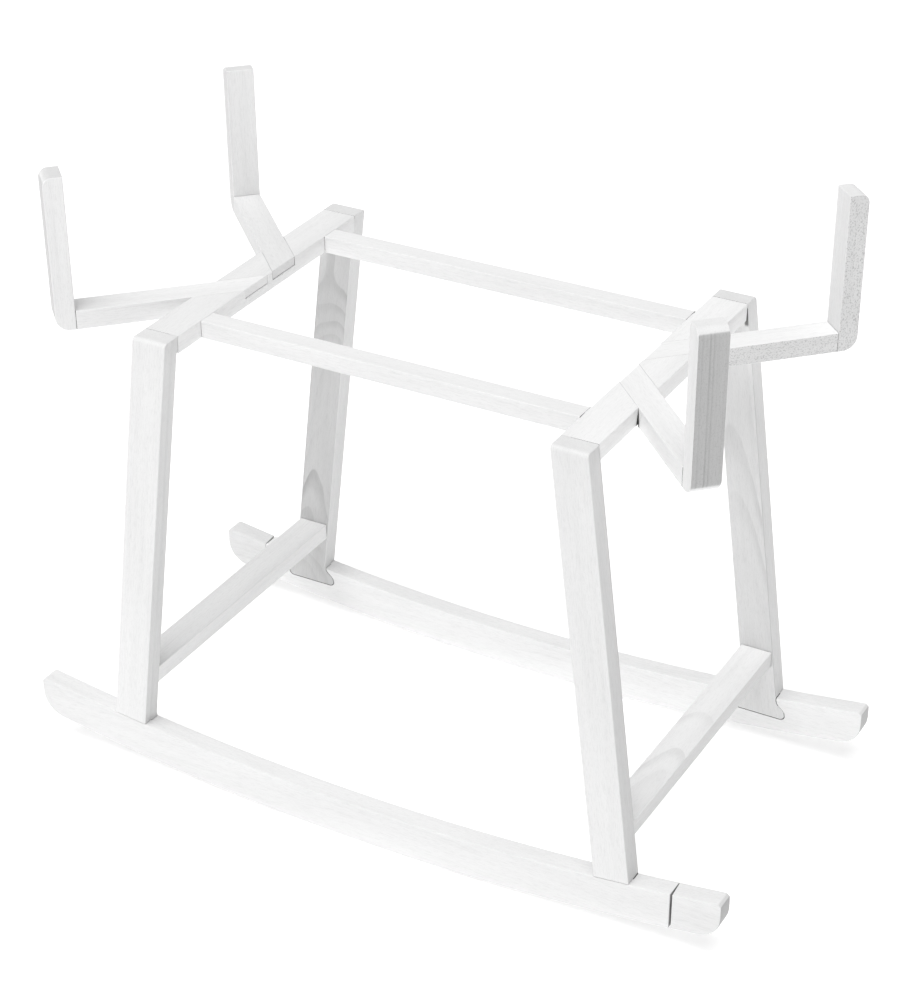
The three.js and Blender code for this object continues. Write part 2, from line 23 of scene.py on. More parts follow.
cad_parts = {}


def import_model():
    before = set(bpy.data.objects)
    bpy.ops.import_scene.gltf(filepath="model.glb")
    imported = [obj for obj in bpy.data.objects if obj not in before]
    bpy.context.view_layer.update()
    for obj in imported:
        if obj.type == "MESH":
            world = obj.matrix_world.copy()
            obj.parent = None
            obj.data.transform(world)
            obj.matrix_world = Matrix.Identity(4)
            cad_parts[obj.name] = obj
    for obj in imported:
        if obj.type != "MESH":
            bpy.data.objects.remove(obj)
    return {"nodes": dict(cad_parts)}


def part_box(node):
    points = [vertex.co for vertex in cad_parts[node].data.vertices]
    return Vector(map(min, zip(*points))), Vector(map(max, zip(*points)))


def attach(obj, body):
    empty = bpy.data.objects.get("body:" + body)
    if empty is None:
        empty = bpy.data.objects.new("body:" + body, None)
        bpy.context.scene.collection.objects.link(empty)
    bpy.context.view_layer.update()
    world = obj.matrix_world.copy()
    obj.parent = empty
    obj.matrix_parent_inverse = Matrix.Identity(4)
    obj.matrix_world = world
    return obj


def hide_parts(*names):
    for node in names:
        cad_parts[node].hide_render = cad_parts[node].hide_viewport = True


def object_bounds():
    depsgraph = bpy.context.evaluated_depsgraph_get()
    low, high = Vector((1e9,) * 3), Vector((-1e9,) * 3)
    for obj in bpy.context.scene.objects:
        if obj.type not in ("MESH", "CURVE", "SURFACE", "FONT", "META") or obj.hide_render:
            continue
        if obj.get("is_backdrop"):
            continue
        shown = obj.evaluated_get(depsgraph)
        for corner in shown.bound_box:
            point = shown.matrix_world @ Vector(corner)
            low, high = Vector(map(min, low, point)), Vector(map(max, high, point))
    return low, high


MM = 0.001
UP = Vector((0.0, 0.0, 1.0))
LOG = logging.getLogger("rocking_stand")


class Side(Enum):
    """Left or right end of the stand."""

    LEFT = "left"
    RIGHT = "right"


class Row(Enum):
    """Front or rear row of the stand."""

    FRONT = "front"
    REAR = "rear"


@dataclass(frozen=True)
class Cut:
    """How a board lay in the log, which sets the figure on its faces.

    Attributes:
        distance: from the board's middle to the log's, in metres.
        lean: of the board in the log, metres of radius for each metre of length.
        wander: how far the rings stray from round, in metres.
        lumps: bends of the rings to the metre.
        ring: width of a year's ring, in metres.
    """

    distance: float
    lean: float
    wander: float
    lumps: float
    ring: float


STRAIGHT = Cut(distance=0.16, lean=0.004, wander=0.008, lumps=7.0, ring=3.2 * MM)
STRIPED = Cut(distance=0.16, lean=0.003, wander=0.007, lumps=6.0, ring=3.8 * MM)
BROAD = Cut(distance=0.09, lean=0.015, wander=0.012, lumps=7.0, ring=3.6 * MM)
CATHEDRAL = Cut(distance=0.06, lean=0.06, wander=0.032, lumps=11.0, ring=3.2 * MM)
FLAMED = Cut(distance=0.07, lean=0.05, wander=0.030, lumps=8.0, ring=4.0 * MM)


class Grain(Enum):
    """Direction of the grain, as the turn that brings it onto the X axis."""

    ALONG_X = (0.0, 0.0, 0.0)
    ALONG_Y = (0.0, 0.0, -90.0)
    ALONG_Z = (0.0, 90.0, 0.0)


# ---- Colours and nodes ---------------------------------------------------------------------------


def linear(colour: str) -> tuple[float, float, float, float]:
    """Turns an sRGB hex colour into linear light.

    Args:
        colour: six hex digits.

    Returns:
        Red, green, blue and an opaque alpha.
    """
    parts = np.array([int(colour[at : at + 2], 16) for at in (0, 2, 4)]) / 255.0
    low = parts / 12.92
    high = ((parts + 0.055) / 1.055) ** 2.4
    red, green, blue = np.where(parts <= 0.04045, low, high)
    return float(red), float(green), float(blue), 1.0


class NodeTree:
    """The node tree of a material or a world, and the one way to add to it."""

    def __init__(self, owner: bpy.types.Material | bpy.types.World) -> None:
        """Starts with no nodes.

        Args:
            owner: the material or world whose tree it is.
        """
        owner.use_nodes = True
        self.tree = owner.node_tree
        self.tree.nodes.clear()

    def add(self, kind: str, *inputs: object, out: str = "",
            **options: object) -> bpy.types.NodeSocket | None:
        """Adds a node with its settings and links.

        Args:
            kind: the node's type, without the ShaderNode in front.
            inputs: a value, or another node's output, for each of its inputs in order.
            out: name of the output that is wanted, where it isn't the first.
            options: the node's properties, and inputs by name; an input's name starts with a
                capital and has underscores for spaces.

        Returns:
            The wanted output, or none where the node has no output.
        """
        node = self.tree.nodes.new("ShaderNode" + kind)
        by_name = {name: value for name, value in options.items() if name[0].isupper()}
        for name, value in options.items():
            if name not in by_name:
                setattr(node, name, value)
        given = list(zip((socket for socket in node.inputs if socket.enabled), inputs))
        given += [(node.inputs[name.replace("_", " ")], value) for name, value in by_name.items()]
        for socket, value in given:
            if isinstance(value, bpy.types.NodeSocket):
                self.tree.links.new(value, socket)
            else:
                socket.default_value = value
        ready = (socket for socket in node.outputs if socket.enabled)
        return node.outputs[out] if out else next(ready, None)


TIMES = {"operation": "MULTIPLY"}
PLUS = {"operation": "ADD"}
MINUS = {"operation": "SUBTRACT"}
SOFT = {"interpolation_type": "SMOOTHSTEP"}
COLOUR = {"data_type": "RGBA"}
PURE_WHITE = (1.0, 1.0, 1.0, 1.0)


class Finish(NodeTree):
    """A material under construction."""

    def __init__(self, name: str) -> None:
        """Starts a material with no nodes."""
        self.material = bpy.data.materials.new(name)
        super().__init__(self.material)

    def end(self, colour: object, roughness: object, bump: bpy.types.NodeSocket,
            relief: float, **constants: object) -> bpy.types.Material:
        """Ends the material with its surface shader.

        Args:
            colour: base colour, a value or an output.
            roughness: a value or an output.
            bump: height pattern, from 0 to 1.
            relief: depth of that pattern in metres.
            constants: inputs of the shader that are the same all over.

        Returns:
            The finished material.
        """
        normal = self.add("Bump", Strength=1.0, Distance=relief, Height=bump)
        shader = self.add(
            "BsdfPrincipled", Base_Color=colour, Roughness=roughness, Normal=normal, **constants
        )
        self.add("OutputMaterial", shader)
        return self.material


# ---- Finishes ------------------------------------------------------------------------------------


@dataclass(frozen=True)
class Coat:
    """What shows through the glaze.

    Attributes:
        tone: brightness against a usual board; on the face given by thin_face it is painted light or shade.
        lines: strength of the growth lines.
        flecks: strength of the ray flecks.
    """

    tone: float = 1.0
    lines: float = 1.0
    flecks: float = 1.0


@dataclass(frozen=True)
class PaintedGapShade:
    """Painted shade of an open gap in an upright inner corner: a dark wedge, a point at its top.

    Attributes:
        top: where it starts, in the frame.
        depth: how far it goes down, in metres.
        width: of the dark wood on either side at its bottom, in metres.
        dark: how dark it gets, from 0 to 1.
    """

    top: tuple[float, float, float]
    depth: float
    width: float
    dark: float

    # near-black colour of the painted shade in the gap
    BASE = "0e0e0e"
    POINT = 0.02  # width at its top, as a share of the width at its bottom
    EDGE = (0.6, 1.5)  # from full to no darkness sideways, in widths
    END = (1.25, 1.05)  # from no to full darkness upward at its bottom, in depths

    def add(self, finish: Finish, colour: bpy.types.NodeSocket) -> bpy.types.NodeSocket:
        """Paints the gap's shade into a colour in the corner.

        The wedge is where the distance from the upright line is less than the width there, which
        grows with the distance below the top.

        Args:
            finish: the material being built.
            colour: the board's colour.

        Returns:
            The new colour.
        """
        place = finish.add("TexCoord", out="Object")
        from_top = finish.add("VectorMath", place, self.top, **MINUS)
        level = finish.add("VectorMath", from_top, (1.0, 1.0, 0.0), **TIMES)
        off = finish.add("VectorMath", level, operation="LENGTH")
        up = finish.add("SeparateXYZ", from_top, out="Z")
        fallen = finish.add("Math", up, -1.0 / self.depth, **TIMES)
        share = finish.add("Clamp", fallen, self.POINT, 1.0)
        reach = finish.add("Math", share, self.width, **TIMES)
        widths = finish.add("Math", off, reach, operation="DIVIDE")
        wedge = finish.add("MapRange", widths, *self.EDGE, self.dark, 0.0, **SOFT)
        above_end = finish.add("MapRange", fallen, *self.END, **SOFT)
        dark = finish.add("Math", wedge, above_end, **TIMES)
        return finish.add("Mix", dark, colour, linear(self.BASE), **COLOUR)


@dataclass(frozen=True)
class Glaze:
    """How the glaze lies on one board.

    Attributes:
        usual: what shows through on most of it.
        thin: what shows through on one face, whose tone is painted lighter or darker for how light falls on
            it, with the wood's own lines and flecks.
        thin_face: outward direction of that face, or none.
        end: how much darker its end grain is, from 0 to 1.
        dry: corners where the shade of an open gap is painted in dark.
    """

    usual: Coat = Coat()
    thin: Coat = Coat()
    thin_face: tuple[float, float, float] | None = None
    end: float = 0.15
    dry: tuple[PaintedGapShade, ...] = ()


@dataclass(frozen=True)
class GlazedBeech:
    """Steamed beech, planed and sanded, under a sheer white glaze.

    The glaze is white but not opaque: the growth lines show through as faint grey streaks, and the
    short ray flecks of beech stay visible as a fine speckle. End grain drinks more glaze and looks
    greyer. The pattern is solid: rings round the log's middle, cut by the board's faces.

    Attributes:
        turn: degrees that bring the grain onto the X axis.
        cut: how the board lay in the log.
        heart: direction across the board, in degrees, in which the log's middle lay.
        seed: picks the board's own noise.
        glaze: how the glaze lies on it.
    """

    turn: tuple[float, float, float]
    cut: Cut
    heart: float
    seed: int
    glaze: Glaze = Glaze()

    WHITE = "f2f2f2"
    CLOUD = "e0e0e0"
    LATEWOOD = "a6a6a6"
    FLECK = "7a7a7a"
    END = "a8a8a8"
    FLECK_WIDTH = 1.1 * MM  # real ones are nearer 0.5 mm, which would be too fine to show
    FIBRE_WIDTH = 0.9 * MM  # real fibres are far finer
    STREAK_WIDTH = 6.0 * MM
    RELIEF = 0.02 * MM
    IOR = 1.48

    # Each noise: how much shorter it reads along the grain, lumps to the metre, detail, roughness.
    FIBRES = (0.10, 1.0 / FIBRE_WIDTH, 2.0, 0.6)
    STREAKS = (0.04, 1.0 / STREAK_WIDTH, 2.0, 0.5)
    CLOUDS = (0.2, 22.0, 3.0, 0.5)
    FLECKS = (0.6, 1.0 / FLECK_WIDTH, 2.0, 0.5)
    PATCHES = (18.0, 2.0, 0.5)  # these two read the board's places drawn out by WANDER_SHARE
    WANDER = (2.0, 0.45)
    WANDER_SHARE = 0.35

    # Each range: where it starts and ends, and what those two become.
    CLOUDS_SHOW = (0.3, 0.72, 0.0, 0.3)
    STREAKS_SHOW = (0.35, 0.7, 0.0, 0.16)
    FIBRES_SHOW = (0.46, 0.72, 0.0, 0.13)
    FLECKS_SHOW = (0.52, 0.66, 0.0, 1.0)
    RING_DARKENS = (0.3, 0.9, 0.0, 1.0)
    RING_ENDS = (1.0, 0.92, 0.0, 1.0)
    YEAR_VARIES = (0.1, 0.9, 0.1, 1.3)
    PATCH_VARIES = (0.35, 0.65, 0.3, 1.0)
    # where the painted light and shade of one face blend in, by how far the surface turns to that face
    PAINTED_LIGHT_FACE = (0.80, 0.97, 0.0, 1.0)
    END_FACE = (0.5, 0.95, 0.0, 1.0)
    ROUGHNESS = (0.2, 0.8, 0.52, 0.62)

    LINE_STRENGTH = 0.035
    FLECK_STRENGTH = 0.03
    FLECK_DEPTH = 0.4  # against that of the fibres

    def make(self, name: str, centre: Vector) -> bpy.types.Material:
        """Builds the material for one board.

        Args:
            name: the board's name.
            centre: middle of the board in the frame.

        Returns:
            The material.
        """
        finish = Finish("white_glazed_beech_" + name)
        turn = Euler([math.radians(angle) for angle in self.turn])
        place = finish.add("TexCoord", out="Object")
        board = finish.add("Mapping", place, -(turn.to_matrix() @ centre), turn)
        normal = finish.add("TexCoord", out="Normal")
        line = self._growth_lines(finish, board)
        fleck = self._ray_flecks(finish, board)
        fibre = self._drawn_noise(finish, board, *self.FIBRES)
        streak = self._drawn_noise(finish, board, *self.STREAKS)
        clouds = self._drawn_noise(finish, board, *self.CLOUDS)
        # tone carries the painted light and shade of one face; lines and flecks are the wood's
        tone, lines, flecks = self._coat(finish, normal)

        clouds = finish.add("MapRange", clouds, *self.CLOUDS_SHOW, **SOFT)
        streaks = finish.add("MapRange", streak, *self.STREAKS_SHOW, **SOFT)
        cloudy = finish.add("Math", clouds, streaks, **PLUS)
        colour = finish.add("Mix", cloudy, linear(self.WHITE), linear(self.CLOUD), **COLOUR)
        faint = finish.add("Math", line, self.LINE_STRENGTH, **TIMES)
        ring = finish.add("Math", faint, lines, **TIMES)
        fibres = finish.add("MapRange", fibre, *self.FIBRES_SHOW, **SOFT)
        grain = finish.add("Math", ring, fibres, **PLUS)
        colour = finish.add("Mix", grain, colour, linear(self.LATEWOOD), **COLOUR)
        faint = finish.add("Math", fleck, self.FLECK_STRENGTH, **TIMES)
        speckle = finish.add("Math", faint, flecks, **TIMES)
        colour = finish.add("Mix", speckle, colour, linear(self.FLECK), **COLOUR)
        end = finish.add("Math", self._end_grain(finish, normal, turn), self.glaze.end, **TIMES)
        colour = finish.add("Mix", end, colour, linear(self.END), **COLOUR)
        # multiplies in the tone, with one face's painted light and shade
        grey = finish.add("CombineColor", tone, tone, tone)
        colour = finish.add("Mix", 1.0, colour, grey, blend_type="MULTIPLY", **COLOUR)
        # paints the shade of open gaps into the corners
        for corner in self.glaze.dry:
            colour = corner.add(finish, colour)
        pits = finish.add("Math", fleck, self.FLECK_DEPTH, **TIMES)
        height = finish.add("Math", fibre, pits, **MINUS)
        roughness = finish.add("MapRange", fibre, *self.ROUGHNESS, **SOFT)
        return finish.end(colour, roughness, height, self.RELIEF, IOR=self.IOR)

    @staticmethod
    def _drawn_out(finish: Finish, board: bpy.types.NodeSocket, share: float) -> bpy.types.NodeSocket:
        """Board coordinates shrunk along the grain, so that a pattern on them is drawn out."""
        return finish.add("VectorMath", board, (share, 1.0, 1.0), **TIMES)

    def _drawn_noise(self, finish: Finish, board: bpy.types.NodeSocket, share: float,
                     *settings: float) -> bpy.types.NodeSocket:
        """Noise drawn out along the grain: its lumps to the metre, detail and roughness follow."""
        return finish.add("TexNoise", self._drawn_out(finish, board, share), *settings)

    def _growth_lines(self, finish: Finish, board: bpy.types.NodeSocket) -> bpy.types.NodeSocket:
        """Adds the latewood lines.

        The radius is the distance from the log's middle, plus a share of the length because the
        board leans in the log, plus slow noise. Each ring darkens slowly and ends sharply, and no
        two years are as dark.

        Args:
            finish: the material being built.
            board: places in the board, with the grain along X.

        Returns:
            How dark the line is, from 0 to 1.
        """
        angle = math.radians(self.heart)
        middle = Vector((0.0, math.cos(angle), math.sin(angle))) * self.cut.distance
        away = finish.add("VectorMath", board, middle, **MINUS)
        across = finish.add("VectorMath", away, (0.0, 1.0, 1.0), **TIMES)
        radius = finish.add("VectorMath", across, operation="LENGTH")
        length = finish.add("SeparateXYZ", board, out="X")
        lean = finish.add("Math", length, self.cut.lean, **TIMES)
        radius = finish.add("Math", radius, lean, **PLUS)
        own_place = (float(self.seed), 0.37 * self.seed, 0.0)
        drawn = self._drawn_out(finish, board, self.WANDER_SHARE)
        shift = finish.add("VectorMath", drawn, own_place, **PLUS)
        wander = finish.add("TexNoise", shift, self.cut.lumps, *self.WANDER)
        wander = finish.add("Math", wander, self.cut.wander, **TIMES)
        radius = finish.add("Math", radius, wander, **PLUS)
        years = finish.add("Math", radius, 1.0 / self.cut.ring, **TIMES)
        ring = finish.add("Math", years, operation="FRACT")
        darkens = finish.add("MapRange", ring, *self.RING_DARKENS, **SOFT)
        ends = finish.add("MapRange", ring, *self.RING_ENDS, **SOFT)
        late = finish.add("Math", darkens, ends, **TIMES)
        year = finish.add("Math", years, operation="FLOOR")
        chance = finish.add("TexWhiteNoise", year, noise_dimensions="1D")
        this_year = finish.add("MapRange", chance, *self.YEAR_VARIES, **SOFT)
        late = finish.add("Math", late, this_year, **TIMES)
        patch = finish.add("TexNoise", shift, *self.PATCHES)
        here = finish.add("MapRange", patch, *self.PATCH_VARIES, **SOFT)
        return finish.add("Math", late, here, **TIMES)

    def _ray_flecks(self, finish: Finish, board: bpy.types.NodeSocket) -> bpy.types.NodeSocket:
        """Dark spindles about 1 mm wide and twice to four times as long, from 0 to 1."""
        spindle = self._drawn_noise(finish, board, *self.FLECKS)
        return finish.add("MapRange", spindle, *self.FLECKS_SHOW, **SOFT)

    def _end_grain(self, finish: Finish, normal: bpy.types.NodeSocket,
                   turn: Euler) -> bpy.types.NodeSocket:
        """Adds the end grain.

        Args:
            finish: the material being built.
            normal: the surface's own direction.
            turn: brings the grain onto the X axis.

        Returns:
            1 where the face cuts across the grain, and 0 along it.
        """
        facing = finish.add("Mapping", Vector=normal, Rotation=turn, vector_type="VECTOR")
        along = finish.add("SeparateXYZ", facing, out="X")
        along = finish.add("Math", along, operation="ABSOLUTE")
        return finish.add("MapRange", along, *self.END_FACE, **SOFT)

    def _coat(self, finish: Finish, normal: bpy.types.NodeSocket) -> list[bpy.types.NodeSocket | float]:
        """Tone, lines and flecks, which go from their usual values to those of the face whose light and
        shade are painted.

        Args:
            finish: the material being built.
            normal: the surface's own direction.

        Returns:
            The three, as values where the board has no face with painted light and shade.
        """
        usual, thin = astuple(self.glaze.usual), astuple(self.glaze.thin)
        if self.glaze.thin_face is None:
            return list(usual)
        facing = finish.add("VectorMath", normal, self.glaze.thin_face, operation="DOT_PRODUCT")
        share = finish.add("MapRange", facing, *self.PAINTED_LIGHT_FACE, **SOFT)
        return [finish.add("MapRange", share, 0.0, 1.0, *ends, **SOFT) for ends in zip(usual, thin)]


@dataclass(frozen=True)
class UnglazedBeech:
    """Sawn beech inside the joints, wetted with glue: dark and matt, so each joint is a narrow line."""

    BASE = "565656"
    LINE = "3e3e3e"
    SAW_MARKS = 700.0  # to the metre
    RELIEF = 0.05 * MM

    def make(self) -> bpy.types.Material:
        """Builds the material.

        Returns:
            The material.
        """
        finish = Finish("unglazed_beech_in_joints")
        saw = finish.add("TexNoise", finish.add("TexCoord", out="Object"), self.SAW_MARKS, 3.0, 0.6)
        marks = finish.add("MapRange", saw, 0.4, 0.7, **SOFT)
        colour = finish.add("Mix", marks, linear(self.BASE), linear(self.LINE), **COLOUR)
        roughness = finish.add("MapRange", saw, 0.2, 0.8, 0.75, 0.9, **SOFT)
        return finish.end(colour, roughness, saw, self.RELIEF, IOR=1.5)


@dataclass(frozen=True)
class PlainBeech:
    """Steamed beech of the dowels, turned and grooved, without any finish: warm tan and matt."""

    BASE = "d9b68c"
    LINE = "a97f54"
    VESSEL_WIDTH = 0.5 * MM
    RELIEF = 0.05 * MM

    def make(self) -> bpy.types.Material:
        """Builds the material, with fibres along the dowel, which is the map's second side.

        Returns:
            The material.
        """
        finish = Finish("plain_beech_turned")
        skin = finish.add("UVMap")
        along = finish.add("VectorMath", skin, (1.0, 0.06, 1.0), **TIMES)
        fibre = finish.add("TexNoise", along, 1.0 / self.VESSEL_WIDTH, 3.0, 0.6)
        vessels = finish.add("MapRange", fibre, 0.4, 0.7, 0.0, 0.7, **SOFT)
        colour = finish.add("Mix", vessels, linear(self.BASE), linear(self.LINE), **COLOUR)
        roughness = finish.add("MapRange", fibre, 0.2, 0.8, 0.65, 0.8, **SOFT)
        return finish.end(colour, roughness, fibre, self.RELIEF, IOR=1.5)


@dataclass(frozen=True)
class ZincedSteel:
    """Drawn steel with bright zinc plating: bluish grey with faint clouds in its gloss."""

    BASE = "b9bdc1"
    CLOUD = "a3a8ad"
    CLOUD_WIDTH = 3.0 * MM
    RELIEF = 0.01 * MM

    def make(self) -> bpy.types.Material:
        """Builds the material.

        Returns:
            The material.
        """
        finish = Finish("zinced_steel_threaded")
        place = finish.add("TexCoord", out="Object")
        cloud = finish.add("TexNoise", place, 1.0 / self.CLOUD_WIDTH, 3.0, 0.6)
        clouds = finish.add("MapRange", cloud, 0.35, 0.7, **SOFT)
        colour = finish.add("Mix", clouds, linear(self.BASE), linear(self.CLOUD), **COLOUR)
        roughness = finish.add("MapRange", cloud, 0.3, 0.7, 0.28, 0.42, **SOFT)
        return finish.end(colour, roughness, cloud, self.RELIEF, Metallic=1.0)


@dataclass(frozen=True)
class WhiteFloor:
    """Matt white paper sweep, lit from below so that shadows on it stay faint."""

    BASE = "eeeeee"
    CLOUD = "ebebeb"
    CLOUDS = 3.0  # to the metre
    RELIEF = 0.01 * MM
    GLOW = 0.37

    def make(self) -> bpy.types.Material:
        """Builds the material.

        Returns:
            The material.
        """
        finish = Finish("white_paper_sweep")
        cloud = finish.add("TexNoise", finish.add("TexCoord", out="Object"), self.CLOUDS, 2.0, 0.5)
        colour = finish.add("Mix", cloud, linear(self.BASE), linear(self.CLOUD), **COLOUR)
        return finish.end(
            colour, 0.9, cloud, self.RELIEF,
            IOR=1.4, Emission_Color=PURE_WHITE, Emission_Strength=self.GLOW,
        )


# ---- Wooden pieces -------------------------------------------------------------------------------


@dataclass(frozen=True)
class Shop:
    """What every piece is made from.

    Attributes:
        solids: the frame's nodes by name.
        bare: finish of the faces inside the joints.
    """

    solids: dict[str, bpy.types.Object]
    bare: bpy.types.Material


@dataclass
class EasedBoard:
    """A wooden piece taken over from its solid, with its outer edges eased by hand.

    Flat faces are made whole again. An edge that lies free is rounded to the full radius, one that
    lies in a joint is only just broken, and the joints on top, which are sanded flush, stay sharp.
    Faces inside the joints are bare wood, because the glaze goes on after the glue.

    Attributes:
        node: the piece's name in the frame.
        beech: its finish.
        body: the body that it rides on.
        radius: of the free edges, in metres.
        near: how close another piece must be for an edge or a face to count as lying in a joint.
    """

    node: str
    beech: GlazedBeech
    body: str = "stand"
    radius: float = 1.2 * MM
    near: float = 0.8 * MM

    JOINT_RADIUS = 0.45 * MM
    FLUSH_RADIUS = 0.12 * MM
    WELD = 0.01 * MM
    STEP = 9.0 * MM
    FLAT = math.radians(0.25)
    CORNER = math.radians(25.0)
    ROUNDING_STEPS = 3
    FACES_HOLE = 0.9  # least cosine between a face's direction and a hole that goes into it
    CROSSES_GRAIN = 0.5  # least sine between a hole and the grain

    def make(self, shop: Shop) -> bpy.types.Object:
        """Builds the piece and puts it in its node's place.

        Args:
            shop: the frame's nodes and the finish of the faces inside the joints.

        Returns:
            The new object.
        """
        shape = bmesh.new()
        shape.from_mesh(shop.solids[self.node].data)
        bmesh.ops.remove_doubles(shape, verts=shape.verts, dist=self.WELD)
        near_nodes = self._near_nodes(shop.solids)
        self._make_faces_whole(shape, near_nodes)
        self._divide_long_edges(shape)
        trees = [self._search_tree(solid) for solid in near_nodes.values()]
        self._weigh_edges(shape, trees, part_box("end_rail_left")[1].z)
        self._bare_joint_faces(shape, trees)
        mesh = bpy.data.meshes.new(self.node + "_wood")
        shape.to_mesh(mesh)
        shape.free()
        low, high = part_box(self.node)
        mesh.materials.append(self.beech.make(self.node, (low + high) / 2))
        mesh.materials.append(shop.bare)
        piece = bpy.data.objects.new(self.node + "_wood", mesh)
        bpy.context.scene.collection.objects.link(piece)
        self._round_edges(piece)
        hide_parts(self.node)
        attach(piece, self.body)
        return piece

    def _round_edges(self, piece: bpy.types.Object) -> None:
        """Rounds the weighted edges and keeps the flat faces looking flat.

        Args:
            piece: the object whose edges have their weights.
        """
        bevel = piece.modifiers.new("eased_edges", "BEVEL")
        bevel.limit_method = "WEIGHT"
        bevel.width = self.radius
        bevel.segments = self.ROUNDING_STEPS
        bevel.use_clamp_overlap = False
        normals = piece.modifiers.new("flat_faces_stay_flat", "WEIGHTED_NORMAL")
        normals.keep_sharp = True

    def _divide_long_edges(self, shape: bmesh.types.BMesh) -> None:
        """Divides the corner edges into short steps, so that the easing can end where a joint starts.

        Args:
            shape: the mesh, with its flat faces whole.
        """
        counts: dict[int, list[bmesh.types.BMEdge]] = {}
        for edge in shape.edges:
            cuts = int(edge.calc_length() / self.STEP)
            if cuts and edge.calc_face_angle(0.0) > self.CORNER:
                counts.setdefault(cuts, []).append(edge)
        for cuts, edges in counts.items():
            bmesh.ops.bisect_edges(shape, edges=edges, cuts=cuts)

    def _near_nodes(self, solids: dict[str, bpy.types.Object]) -> dict[str, bpy.types.Object]:
        """Finds the other solids whose boxes touch this one's.

        Args:
            solids: the frame's nodes by name.

        Returns:
            Those that touch, by name.
        """
        low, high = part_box(self.node)
        found = {}
        for name, other in solids.items():
            other_low, other_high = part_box(name)
            apart = any(
                other_low[axis] > high[axis] + self.near or other_high[axis] < low[axis] - self.near
                for axis in range(3)
            )
            if name != self.node and not apart:
                found[name] = other
        return found

    def _make_faces_whole(self, shape: bmesh.types.BMesh, near_nodes: dict[str, bpy.types.Object]) -> None:
        """Merges the triangles of each flat face.

        A face with a hole is kept in two parts, divided by a plane through the hole's middle line
        and across the board, so that no sliver is left beside an edge that is rounded later.

        Args:
            shape: the solid's mesh, with its corners merged.
            near_nodes: the solids that touch it.
        """
        turn = Euler([math.radians(angle) for angle in self.beech.turn]).to_matrix()
        length = turn.inverted() @ Vector((1.0, 0.0, 0.0))
        for name, solid in near_nodes.items():
            if not any(kind in name for kind in TURNED_KINDS):
                continue
            axis = Axis.of(solid)
            along = Vector(axis.along)
            across = length - along * length.dot(along)
            if across.length < self.CROSSES_GRAIN:
                across = along.cross(UP)
            faces = [face for face in shape.faces if abs(face.normal.dot(along)) > self.FACES_HOLE]
            edges = {edge for face in faces for edge in face.edges}
            corners = {corner for face in faces for corner in face.verts}
            divided = bmesh.ops.bisect_plane(
                shape,
                geom=[*faces, *edges, *corners],
                dist=self.WELD,
                plane_co=Vector(axis.start),
                plane_no=across,
            )
            for item in divided["geom_cut"]:
                if isinstance(item, bmesh.types.BMEdge):
                    item.seam = True
        bmesh.ops.dissolve_limit(
            shape,
            angle_limit=self.FLAT,
            use_dissolve_boundaries=False,
            verts=shape.verts,
            edges=shape.edges,
            delimit={"SEAM"},
        )

    @staticmethod
    def _search_tree(solid: bpy.types.Object) -> BVHTree:
        """A tree that finds the nearest point of a solid."""
        return BVHTree.FromPolygons(
            [tuple(corner.co) for corner in solid.data.vertices],
            [tuple(face.vertices) for face in solid.data.polygons],
        )

    def _jointed(self, point: Vector, trees: list[BVHTree]) -> bool:
        """Whether another piece lies against this point."""
        return any(tree.find_nearest(point, self.near)[0] is not None for tree in trees)

    def _weigh_edges(self, shape: bmesh.types.BMesh, trees: list[BVHTree], top: float) -> None:
        """Gives each corner edge its share of the easing, and marks the hollow ones as sharp.

        Args:
            shape: the mesh, with its corner edges divided.
            trees: search trees of the solids near it.
            top: height of the joints that are sanded flush.
        """
        weights = shape.edges.layers.float.new("bevel_weight_edge")
        for face in shape.faces:
            face.smooth = True
        for edge in shape.edges:
            if len(edge.link_faces) != 2 or edge.calc_face_angle(0.0) < self.CORNER:
                continue
            middle = (edge.verts[0].co + edge.verts[1].co) / 2
            if not edge.is_convex:
                edge.smooth = False
            elif not self._jointed(middle, trees):
                edge[weights] = 1.0
            else:
                flush = abs(middle.z - top) < self.FLUSH_RADIUS
                edge[weights] = (self.FLUSH_RADIUS if flush else self.JOINT_RADIUS) / self.radius

    def _bare_joint_faces(self, shape: bmesh.types.BMesh, trees: list[BVHTree]) -> None:
        """Gives the second finish to every face that lies wholly against another piece.

        Args:
            shape: the mesh.
            trees: search trees of the solids near it.
        """
        for face in shape.faces:
            points = [face.calc_center_median(), *(vertex.co for vertex in face.verts)]
            if all(self._jointed(point, trees) for point in points):
                face.material_index = 1


class SubAssembly:
    """Wooden pieces that belong together."""

    def boards(self) -> list[EasedBoard]:
        """The pieces."""
        raise NotImplementedError

    def make(self, shop: Shop) -> list[bpy.types.Object]:
        """Builds every piece."""
        return [board.make(shop) for board in self.boards()]


@dataclass
class EndFrame(SubAssembly):
    """One end of the stand: two legs, the rail over them and the stretcher between them."""

    side: Side
    rail: GlazedBeech
    stretcher: GlazedBeech
    legs: dict[Row, GlazedBeech]

    def boards(self) -> list[EasedBoard]:
        """Lists the pieces.

        Returns:
            Rail, stretcher and legs.
        """
        name = self.side.value
        legs = [EasedBoard(f"leg_{row.value}_{name}", beech) for row, beech in self.legs.items()]
        rail = EasedBoard(f"end_rail_{name}", self.rail)
        return [rail, EasedBoard(f"stretcher_{name}", self.stretcher), *legs]


@dataclass
class LongRails(SubAssembly):
    """The two rails that hold the end frames apart."""

    rails: dict[Row, GlazedBeech]

    def boards(self) -> list[EasedBoard]:
        """Both rails."""
        return [EasedBoard(f"long_rail_{row.value}", beech) for row, beech in self.rails.items()]


